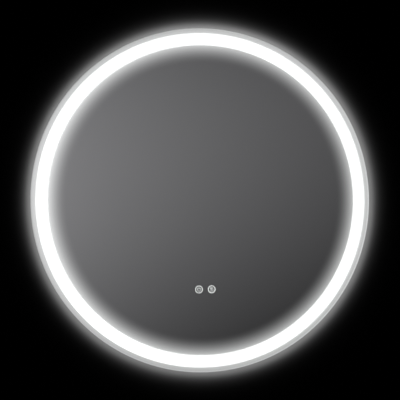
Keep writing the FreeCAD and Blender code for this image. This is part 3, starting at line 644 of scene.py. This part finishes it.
front_opal = opal("front_opal", 1.30, dim=0.45, fade=3.2)
rear_opal = opal("rear_opal", 3.0)
opal_inner, opal_outer, opal_back, opal_front = 358.1, 391.9, 31.0, 33.0
front_diffuser = swept_ring("band_opal", rounded(
    [(opal_inner, opal_back), (opal_outer, opal_back), (opal_outer, opal_front),
     (opal_inner, opal_front)], [0.3] * 4), front_opal)
cone_outline = [(358.7, 6.2), (363.0, 6.2), (393.6, 18.5), (389.3, 18.5)]
rear_diffuser = swept_ring("rear_cone", cone_outline, rear_opal)
for piece, node in ((front_diffuser, "front_diffuser"), (rear_diffuser, "rear_diffuser")):
    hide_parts(node)
    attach(piece, "mirror")

# ---- light frame
# One aluminium extrusion, rolled into a ring and closed by a butt joint at the bottom. A web, a
# shelf and an outer wall make one chamber for each light. It is anodised, with fine drawing lines.


def grain_group():
    """Fine grain: a colour between two, a roughness between two, and a height."""
    group = bpy.data.node_groups.new("fine_grain", "ShaderNodeTree")
    add_inputs(group, ("Vector", "Vector"), ("Scale", "Float"), ("Dark", "Color"),
               ("Light", "Color"), ("Smooth", "Float"), ("Rough", "Float"))
    for name, kind in (("Colour", "NodeSocketColor"), ("Roughness", "NodeSocketFloat"),
                       ("Height", "NodeSocketFloat")):
        group.interface.new_socket(name, in_out="OUTPUT", socket_type=kind)
    given, out = group.nodes.new("NodeGroupInput"), group.nodes.new("NodeGroupOutput")
    noise = group.nodes.new("ShaderNodeTexNoise")
    noise.inputs["Detail"].default_value = 5.0
    group.links.new(given.outputs["Vector"], noise.inputs["Vector"])
    group.links.new(given.outputs["Scale"], noise.inputs["Scale"])
    spread = ranged(group, noise.outputs["Fac"], 0.0, 1.0, 0.3, 0.7)
    colour = group.nodes.new("ShaderNodeMix")
    colour.data_type = "RGBA"
    group.links.new(spread, colour.inputs["Factor"])
    group.links.new(given.outputs["Dark"], colour.inputs[6])
    group.links.new(given.outputs["Light"], colour.inputs[7])
    rough = group.nodes.new("ShaderNodeMix")
    group.links.new(spread, rough.inputs["Factor"])
    group.links.new(given.outputs["Smooth"], rough.inputs["A"])
    group.links.new(given.outputs["Rough"], rough.inputs["B"])
    group.links.new(colour.outputs[2], out.inputs["Colour"])
    group.links.new(rough.outputs[0], out.inputs["Roughness"])
    group.links.new(noise.outputs["Fac"], out.inputs["Height"])
    return group


fine_grain = grain_group()


def finish(name, dark, light, smoothness, roughness, scale=300.0, relief=0.02, metal=0.0,
           stretch=(1, 1, 1)):
    """A material with grain in its colour, its roughness and its relief, which is in mm."""
    material, tree, shader = new_material(name)
    shader.inputs["Metallic"].default_value = metal
    turn = tree.nodes.new("ShaderNodeMapping")
    turn.inputs["Scale"].default_value = stretch
    tree.links.new(object_place(tree), turn.inputs["Vector"])
    grain = tree.nodes.new("ShaderNodeGroup")
    grain.node_tree = fine_grain
    tree.links.new(turn.outputs["Vector"], grain.inputs["Vector"])
    for key, value in (("Scale", scale), ("Dark", (*dark, 1.0)), ("Light", (*light, 1.0)),
                       ("Smooth", smoothness), ("Rough", roughness)):
        grain.inputs[key].default_value = value
    tree.links.new(grain.outputs["Colour"], shader.inputs["Base Color"])
    tree.links.new(grain.outputs["Roughness"], shader.inputs["Roughness"])
    bumped(tree, grain.outputs["Height"], 0.6, relief, shader)
    return material


def drawn_aluminium():
    """Anodised aluminium whose drawing lines run round the rim."""
    material = finish("drawn_aluminium", (0.66, 0.67, 0.68), (0.80, 0.81, 0.82), 0.26, 0.40,
                      scale=1.0, relief=0.012, metal=1.0)
    tree = material.node_tree
    radius, across = from_the_middle(tree)[:2]
    lines_per_metre, runs_per_metre = 2500.0, 4.0
    lines = tree.nodes.new("ShaderNodeCombineXYZ")
    for axis, socket, often in (("X", radius, lines_per_metre),
                                ("Y", object_axes(tree)["Y"], lines_per_metre),
                                ("Z", across, runs_per_metre)):
        tree.links.new(math_node(tree, "MULTIPLY", socket, often), lines.inputs[axis])
    grain = [node for node in tree.nodes if node.type == "GROUP"][0]
    tree.links.new(lines.outputs["Vector"], grain.inputs["Vector"])
    return material


aluminium = drawn_aluminium()
web_inner, web_outer, wall_inner, wall_outer = 356.4, 358.0, 392.0, 393.6
flange, frame_wall = 14.4, 1.6
frame_back, shelf_back, shelf_front, frame_front = 6.2, 18.6, 20.2, 32.2
frame_outline = [
    (web_inner - flange, frame_back), (web_outer, frame_back), (web_outer, shelf_back),
    (wall_outer, shelf_back), (wall_outer, frame_front), (wall_inner, frame_front),
    (wall_inner, shelf_front), (web_outer, shelf_front), (web_outer, frame_front),
    (web_inner - flange, frame_front), (web_inner - flange, frame_front - frame_wall),
    (web_inner, frame_front - frame_wall), (web_inner, frame_back + frame_wall),
    (web_inner - flange, frame_back + frame_wall)]
frame_corners = [0.3, 0.3, 0.4, 0.5, 0.5, 0.5, 0.4, 0.4, 0.3, 0.3, 0.3, 0.4, 0.4, 0.3]
frame_ring = swept_ring("frame_ring", rounded(frame_outline, frame_corners, steps=3, hold=hold),
                        aluminium)


def round_outline(radius, sides=24):
    return [(radius * math.cos(2 * math.pi * i / sides), radius * math.sin(2 * math.pi * i / sides))
            for i in range(sides)]


def add_radial_prism(shape, outline, inner, outer, angle):
    """A prism that points out from the glass's axis, from an (along the rim, depth) outline."""
    turn = math.radians(angle)
    close_prism(shape, [[
        shape.verts.new(((reach * math.cos(turn) - a * math.sin(turn)) * mm, -d * mm,
                         (reach * math.sin(turn) + a * math.cos(turn)) * mm + middle.z))
        for a, d in outline] for reach in (inner, outer)])


screw_circle, screw_hole = 349.2, 1.95
screw_places = [(screw_circle * math.cos(math.radians(angle)),
                 screw_circle * math.sin(math.radians(angle)))
                for angle in (22.5 + 45 * i for i in range(8))]
holes = bmesh.new()
for x, height in screw_places:
    add_prism(holes, round_outline(screw_hole), 4.0, 9.0, x, height)
lead_slot = [(-2.2, -1.2), (2.2, -1.2), (2.2, 1.2), (-2.2, 1.2)]
short_of_web, past_web = 354.0, 360.0
for angle, depth in ((205.0, 22.2), (215.0, 16.6)):
    add_radial_prism(holes, [(a, depth + d) for a, d in lead_slot], short_of_web, past_web, angle)
bottom, splice_hole, splice_depth = 270.0, 1.75, 26.2
splice_swing = math.degrees(18.0 / web_inner)
for side in (-1, 1):
    add_radial_prism(holes, [(a, splice_depth + d) for a, d in round_outline(splice_hole, 12)],
                     short_of_web, past_web, bottom + side * splice_swing)
half_joint, joint_back, joint_front = 0.15, 4.0, 34.0
add_radial_prism(holes, [(-half_joint, joint_back), (half_joint, joint_back),
                         (half_joint, joint_front), (-half_joint, joint_front)],
                 340.0, 396.0, bottom)
frame_ring = cut_from(frame_ring, object_from(holes, "frame_holes"))
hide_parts("light_frame")
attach(frame_ring, "mirror")


def dress(material, *names):
    """Gives CAD nodes whose shape is right their finish."""
    for name in names:
        slots = nodes[name].data.materials
        slots.clear()
        slots.append(material)


rivet_aluminium = finish("rivet_aluminium", (0.62, 0.63, 0.64), (0.76, 0.77, 0.78), 0.30, 0.48,
                         scale=900.0, metal=1.0)
foam_tape = finish("foam_tape", (0.78, 0.79, 0.78), (0.90, 0.90, 0.89), 0.75, 0.92, scale=700.0,
                   relief=0.08)
dress(aluminium, "frame_splice_plate")
dress(rivet_aluminium, "splice_rivets")
dress(foam_tape, "glass_bonding_tape")

# ---- LED boards
# White boards stand in a circle on each face of the frame's shelf, eighteen to a circle. A yellow
# line of phosphor over the chips runs along each board.
board_mask = finish("board_mask", (0.80, 0.81, 0.80), (0.90, 0.91, 0.90), 0.35, 0.55, scale=500.0)
phosphor, tree, shader = new_material("phosphor")
specks = tree.nodes.new("ShaderNodeTexVoronoi")
specks.inputs["Scale"].default_value = 700.0
tree.links.new(object_place(tree), specks.inputs["Vector"])
yellow = between(tree, specks.outputs["Distance"], (0.80, 0.62, 0.16), (0.95, 0.80, 0.34))
tree.links.new(yellow, shader.inputs["Base Color"])
tree.links.new(yellow, shader.inputs["Emission Color"])
shader.inputs["Emission Strength"].default_value = 0.3
shader.inputs["Roughness"].default_value = 0.5
dress(board_mask, "front_led_boards", "rear_led_boards")
dress(phosphor, "front_light_lines", "rear_light_lines")

# ---- back panel
# A disc of galvanised sheet that closes the frame. It is pierced for the screws, the rivets, the
# cable entry, the earth stud and two groups of vents, and the screws hold it to the frame's flange.
galvanised, tree, shader = new_material("galvanised")
shader.inputs["Metallic"].default_value = 1.0
place = object_place(tree)
bend = tree.nodes.new("ShaderNodeVectorMath")
bend.operation = "MULTIPLY_ADD"
bend.inputs[1].default_value = (0.006, 0.006, 0.006)
tree.links.new(noise_at(tree, place, 130.0, 3.0)["Color"], bend.inputs[0])
tree.links.new(place, bend.inputs[2])
blend = 0.0
for flake_scale, weight in ((110.0, 0.40), (260.0, 0.22)):
    flakes = tree.nodes.new("ShaderNodeTexVoronoi")
    flakes.inputs["Scale"].default_value = flake_scale
    tree.links.new(bend.outputs["Vector"], flakes.inputs["Vector"])
    split = tree.nodes.new("ShaderNodeSeparateColor")
    tree.links.new(flakes.outputs["Color"], split.inputs["Color"])
    blend = math_node(tree, "ADD", blend, math_node(tree, "MULTIPLY", split.outputs["Red"], weight))
stains = noise_at(tree, place, 9.0, 6.0)["Fac"]
blend = math_node(tree, "ADD", blend, math_node(tree, "MULTIPLY", stains, 0.38))
tree.links.new(between(tree, blend, (0.52, 0.53, 0.54), (0.72, 0.73, 0.74)),
               shader.inputs["Base Color"])
tree.links.new(ranged(tree, blend, 0.36, 0.56), shader.inputs["Roughness"])

panel_radius, panel_back, panel_front = 363.0, 5.2, 6.2
panel = swept_ring("back_disc", rounded(
    [(0, panel_back), (panel_radius, panel_back), (panel_radius, panel_front), (0, panel_front)],
    [0, 0.2, 0.2, 0], closed=False, hold=hold), galvanised, closed=False)


def stadium(length, width, steps=10):
    """A round-ended slot's outline, along x."""
    reach = (length - width) / 2
    return (arc(width / 2, -90, 90, steps, (reach, 0))
            + arc(width / 2, 90, 270, steps, (-reach, 0)))


def rounded_square(side, radius, steps=6):
    half = side / 2
    return rounded([(-half, -half), (half, -half), (half, half), (-half, half)], [radius] * 4,
                   steps)


rail_rivets = [(x, 229.5) for x in (-165.0, -55.0, 55.0, 165.0)]
ear_rivets = [(-50.0, -28.0), (50.0, -92.0), (65.0, 60.0), (119.0, 60.0)]
grommet_place, earth_place = (40.0, 60.0), (92.0, 12.0)
rivet_hole, vent_x, vent_height, vent_pitch = 2.15, 150.0, -200.0, 10.0
openings = [(round_outline(screw_hole), x, height) for x, height in screw_places]
openings += [(round_outline(rivet_hole), x, height) for x, height in rail_rivets + ear_rivets]
openings += [(rounded_square(15.2, 2.0), *grommet_place), (round_outline(rivet_hole), *earth_place)]
openings += [(stadium(26.0, 4.0), side * vent_x, vent_height + vent_pitch * i)
             for side in (-1, 1) for i in range(-2, 3)]
panel = cut_from(panel, cutter_from(openings, panel_back - 1, panel_front + 1, "panel_holes"))
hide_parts("back_panel")
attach(panel, "mirror")

# ---- screws and rivets
# Zinc-plated pan-head screws hold the panel to the frame, and aluminium blind rivets hold the rail,
# the driver and the terminals to the panel. Each screw stopped at a turn of its own.


def turned(name, outline, material, recess=None, floor_at=0.0, sides=24):
    """A small turned piece from (radius, height) corners in mm, along y. Its top has a recess."""
    thing = swept_ring(name, [(radius, -height) for radius, height in outline], material,
                       closed=False, segments=sides)
    if recess:
        thing = cut_from(thing, cutter_from([(recess, 0, 0)], -floor_at, -floor_at - 9.0,
                                            name + "_recess"))
    thing.data.transform(Matrix.Translation((0, 0, -middle.z)))
    return thing


def in_places_tree():
    """Geometry nodes that set a piece at each point, each with its own turn about y."""
    tree = bpy.data.node_groups.new("in_places", "GeometryNodeTree")
    keys = add_inputs(tree, ("Places", "Geometry"), ("Piece", "Object"), ("Most turn", "Float"),
                      ("Finish", "Material"))
    tree.interface.new_socket("Pieces", in_out="OUTPUT", socket_type="NodeSocketGeometry")
    given = tree.nodes.new("NodeGroupInput")
    piece = tree.nodes.new("GeometryNodeObjectInfo")
    turn = tree.nodes.new("FunctionNodeRandomValue")
    turn.inputs["Seed"].default_value = 7
    angles = tree.nodes.new("ShaderNodeCombineXYZ")
    put = tree.nodes.new("GeometryNodeInstanceOnPoints")
    real = tree.nodes.new("GeometryNodeRealizeInstances")
    coat = tree.nodes.new("GeometryNodeSetMaterial")
    out = tree.nodes.new("NodeGroupOutput")
    for source, target in (
            (given.outputs["Piece"], piece.inputs["Object"]),
            (given.outputs["Places"], put.inputs["Points"]),
            (piece.outputs["Geometry"], put.inputs["Instance"]),
            (given.outputs["Most turn"], turn.inputs[3]),
            (turn.outputs[1], angles.inputs["Y"]),
            (angles.outputs["Vector"], put.inputs["Rotation"]),
            (put.outputs["Instances"], real.inputs["Geometry"]),
            (real.outputs["Geometry"], coat.inputs["Geometry"]),
            (given.outputs["Finish"], coat.inputs["Material"]),
            (coat.outputs["Geometry"], out.inputs["Pieces"])):
        tree.links.new(source, target)
    return tree, keys


places_tree, places_inputs = in_places_tree()


def set_in_places(name, piece, places, material, most_turn=0.0):
    """One object that holds the piece at each (x, height, depth) in mm, and uses the piece up."""
    mesh = bpy.data.meshes.new(name)
    mesh.from_pydata([(x * mm, -depth * mm, height * mm + middle.z)
                      for x, height, depth in places], [], [])
    thing = add_object(name + "_places", mesh)
    modifier = thing.modifiers.new("in_places", "NODES")
    modifier.node_group = places_tree
    for key, value in (("Piece", piece), ("Most turn", most_turn), ("Finish", material)):
        modifier[places_inputs[key]] = value
    made = smooth(made_real(thing, name), 30)
    bpy.data.objects.remove(piece)
    return made


screw_zinc = finish("screw_zinc", (0.58, 0.59, 0.60), (0.74, 0.75, 0.76), 0.22, 0.36, scale=900.0,
                    relief=0.01, metal=1.0)
arm, reach = 0.4, 2.1
cross = [(arm, arm), (arm, reach), (-arm, reach), (-arm, arm), (-reach, arm), (-reach, -arm),
         (-arm, -arm), (-arm, -reach), (arm, -reach), (arm, -arm), (reach, -arm), (reach, arm)]
pan_head = turned("pan_head", [(0, 2.2), (2.2, 2.05), (3.0, 1.7), (3.55, 1.1), (3.75, 0.4),
                               (3.75, 0.0), (1.8, 0.0), (1.8, -7.4), (1.2, -8.0), (0, -8.0)],
                  screw_zinc, recess=cross, floor_at=1.0)
panel_screws = set_in_places("panel_screws", pan_head,
                             [(x, height, panel_back) for x, height in screw_places], screw_zinc,
                             most_turn=math.pi / 2)
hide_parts("back_panel_screws")
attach(panel_screws, "mirror")

blind_rivet = turned("blind_rivet", [
    (0, 0.35), (1.05, 0.35), (1.1, 1.1), (1.5, 1.2), (2.4, 1.05), (3.3, 0.6), (3.9, 0.12),
    (4.0, 0.0), (2.0, 0.0), (2.0, -3.0), (3.0, -3.0), (3.0, -4.5), (2.4, -5.0), (0, -5.0)],
                     rivet_aluminium)
rail_sheet = 2.0
rivets = set_in_places("rivets", blind_rivet,
                       [(x, height, panel_back - rail_sheet) for x, height in rail_rivets]
                       + [(x, height, panel_back) for x, height in ear_rivets], rivet_aluminium)
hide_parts("panel_rivets")
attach(rivets, "mirror")

# ---- hanging rails
# Two rails of folded zinc-plated steel. The wall's rail is screwed to the wall, with round holes
# and slots. The mirror's rail is riveted to the panel, and its hook drops behind the wall's hook.
rail_zinc = finish("rail_zinc", (0.60, 0.61, 0.62), (0.76, 0.77, 0.78), 0.26, 0.42, scale=60.0,
                   relief=0.01, metal=1.0, stretch=(0.15, 1, 1))


def folded_rail(name, outline, radii, length, shapes):
    """A profile of (depth, height) corners drawn out along x, with holes through it."""
    solid = bmesh.new()
    profile = rounded(outline, radii, 5, hold=hold)
    close_prism(solid, [[solid.verts.new((x * mm, -depth * mm, height * mm + middle.z))
                         for depth, height in profile] for x in (-length / 2, length / 2)])
    thing = object_from(solid, name)
    thing.data.materials.append(rail_zinc)
    return cut_from(thing, cutter_from(shapes, -1.0, 6.0, name + "_holes"))


mirror_rail_length, wall_rail_length = 400.0, 380.0
seat, play, lead_in = 216.0, 0.4, 0.6
hook_tip, hook_face, rail_base, rail_top = seat - 18.0, play + rail_sheet, 3.2, 241.0
mirror_rail = folded_rail(
    "mirror_rail",
    [(panel_back, seat), (panel_back, rail_top), (rail_base, rail_top),
     (rail_base, seat + rail_sheet), (play, seat + rail_sheet), (play, hook_tip),
     (hook_face - lead_in, hook_tip), (hook_face, hook_tip + 2 * lead_in), (hook_face, seat)],
    [1.6, 0.3, 0.3, 0.4, 1.6, 0.3, 0.3, 0.3, 0.3], mirror_rail_length,
    [(round_outline(rivet_hole), x, height) for x, height in rail_rivets])
step_top, step_bottom, foot_bottom = seat - 20.0, seat - 22.0, 166.0
hook_near, hook_far = 2.8, 4.8
rail_height, wall_hole, wall_hole_x, slot_x = 180.0, 2.75, 160.0, 80.0
wall_shapes = [(round_outline(wall_hole, 32), side * wall_hole_x, rail_height)
               for side in (-1, 1)]
wall_shapes += [(stadium(16.0, 2 * wall_hole), side * slot_x, rail_height) for side in (-1, 1)]
wall_rail = folded_rail(
    "wall_rail_piece",
    [(0, foot_bottom), (rail_sheet, foot_bottom), (rail_sheet, step_bottom),
     (hook_far, step_bottom), (hook_far, seat - 2 * lead_in), (hook_far - lead_in, seat),
     (hook_near + lead_in, seat), (hook_near, seat - 2 * lead_in), (hook_near, step_top),
     (0, step_top)],
    [0.3, 0.3, 0.4, 1.6, 0.3, 0.3, 0.3, 0.3, 0.4, 1.6], wall_rail_length, wall_shapes)
for piece, node, body in ((mirror_rail, "hanging_rail", "mirror"),
                          (wall_rail, "wall_rail", "wall_side")):
    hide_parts(node)
    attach(piece, body)

# ---- wall pads
# Two soft silicone pads, stuck to the bottom of the panel, that keep the mirror off the wall. They
# are moulded, with a soft edge all round.
silicone = finish("silicone", (0.66, 0.67, 0.66), (0.74, 0.75, 0.74), 0.45, 0.62, scale=400.0,
                  relief=0.03)


def soft_prism(name, outline, near, far, x, height, edge, material):
    """A prism square to the wall whose edges are rounded."""
    thing = cutter_from([(outline, x, height)], near, far, name + "_block")
    modifier = thing.modifiers.new("soft_edge", "BEVEL")
    modifier.width, modifier.segments, modifier.limit_method = edge * mm, 3, "ANGLE"
    modifier.angle_limit = math.radians(50)
    made = made_real(thing, name)
    made.data.materials.append(material)
    return smooth(made, 40)


def joined(name, pieces):
    """Several objects made one, with a plain mesh."""
    solid = bmesh.new()
    for piece in pieces:
        solid.from_mesh(piece.data)
    mesh = bpy.data.meshes.new(name)
    solid.to_mesh(mesh)
    solid.free()
    for material in pieces[0].data.materials:
        mesh.materials.append(material)
    for piece in pieces:
        bpy.data.objects.remove(piece)
    return smooth(add_object(name, mesh), 40)


pad_side, pad_corner, pad_edge, pad_x, pad_height = 20.0, 5.0, 0.8, 190.0, -230.0
pads = joined("soft_pads", [
    soft_prism("pad", rounded_square(pad_side, pad_corner), 0.0, panel_back, side * pad_x,
               pad_height, pad_edge, silicone) for side in (-1, 1)])
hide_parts("wall_pads")
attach(pads, "mirror")

# ---- cable grommet
# A black rubber bush, buttoned into a square hole in the panel. The supply cable comes through it.
rubber = finish("rubber", (0.018, 0.018, 0.019), (0.035, 0.035, 0.036), 0.55, 0.75, scale=800.0,
                relief=0.03)
bush_back, bush_front, overlap, cable_bore = 3.8, 8.0, 0.05, 4.0
bush = joined("bush", [
    soft_prism(name, rounded_square(side, corner), back, front, *grommet_place, edge, rubber)
    for name, side, corner, back, front, edge in (
        ("outer_flange", 21.0, 3.5, bush_back, panel_back, 0.5),
        ("neck", 15.0, 2.0, panel_back - overlap, panel_front + overlap, 0.01),
        ("inner_flange", 18.0, 3.0, panel_front, bush_front, 0.5))])
bush = cut_from(bush, cutter_from([(round_outline(cable_bore, 32), *grommet_place)],
                                  bush_back - 0.8, bush_front + 1, "bore"))
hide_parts("cable_grommet")
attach(bush, "mirror")

# ---- what the housing holds
# The driver in its plastic case, the terminals and the earth stud, the touch key module, the
# demister film and the leads between them. They keep their CAD shapes.
case_white = finish("case_white", (0.74, 0.74, 0.72), (0.82, 0.82, 0.80), 0.42, 0.55, scale=650.0)
laminate = finish("laminate", (0.02, 0.16, 0.07), (0.04, 0.24, 0.11), 0.30, 0.45, scale=240.0,
                  relief=0.01)
component_black = finish("component_black", (0.020, 0.020, 0.022), (0.045, 0.045, 0.048), 0.40,
                         0.60, scale=420.0)
brass = finish("brass", (0.62, 0.44, 0.17), (0.78, 0.58, 0.26), 0.24, 0.40, scale=700.0, metal=1.0)
film = finish("heating_film", (0.55, 0.30, 0.10), (0.66, 0.38, 0.14), 0.35, 0.50, scale=40.0,
              relief=0.01)
lead_white = finish("lead_white", (0.76, 0.76, 0.74), (0.84, 0.84, 0.82), 0.40, 0.55, scale=500.0)
earth_green = finish("earth_green", (0.10, 0.32, 0.06), (0.55, 0.55, 0.06), 0.40, 0.55,
                     scale=160.0)
dress(case_white, "driver_case", "driver_lid", "terminal_block", "touch_case", "lead_saddles")
dress(laminate, "driver_board", "touch_board")
dress(component_black, "driver_components", "touch_board_parts", "demister_tab")
dress(screw_zinc, "terminal_screws")
dress(brass, "earth_stud")
dress(film, "demister_pad")
dress(lead_white, "front_board_lead", "rear_board_lead", "touch_lead", "mains_lead",
      "demister_lead")
dress(earth_green, "earth_lead")
dress(opal("key_light", 1.4), "touch_light_guide")
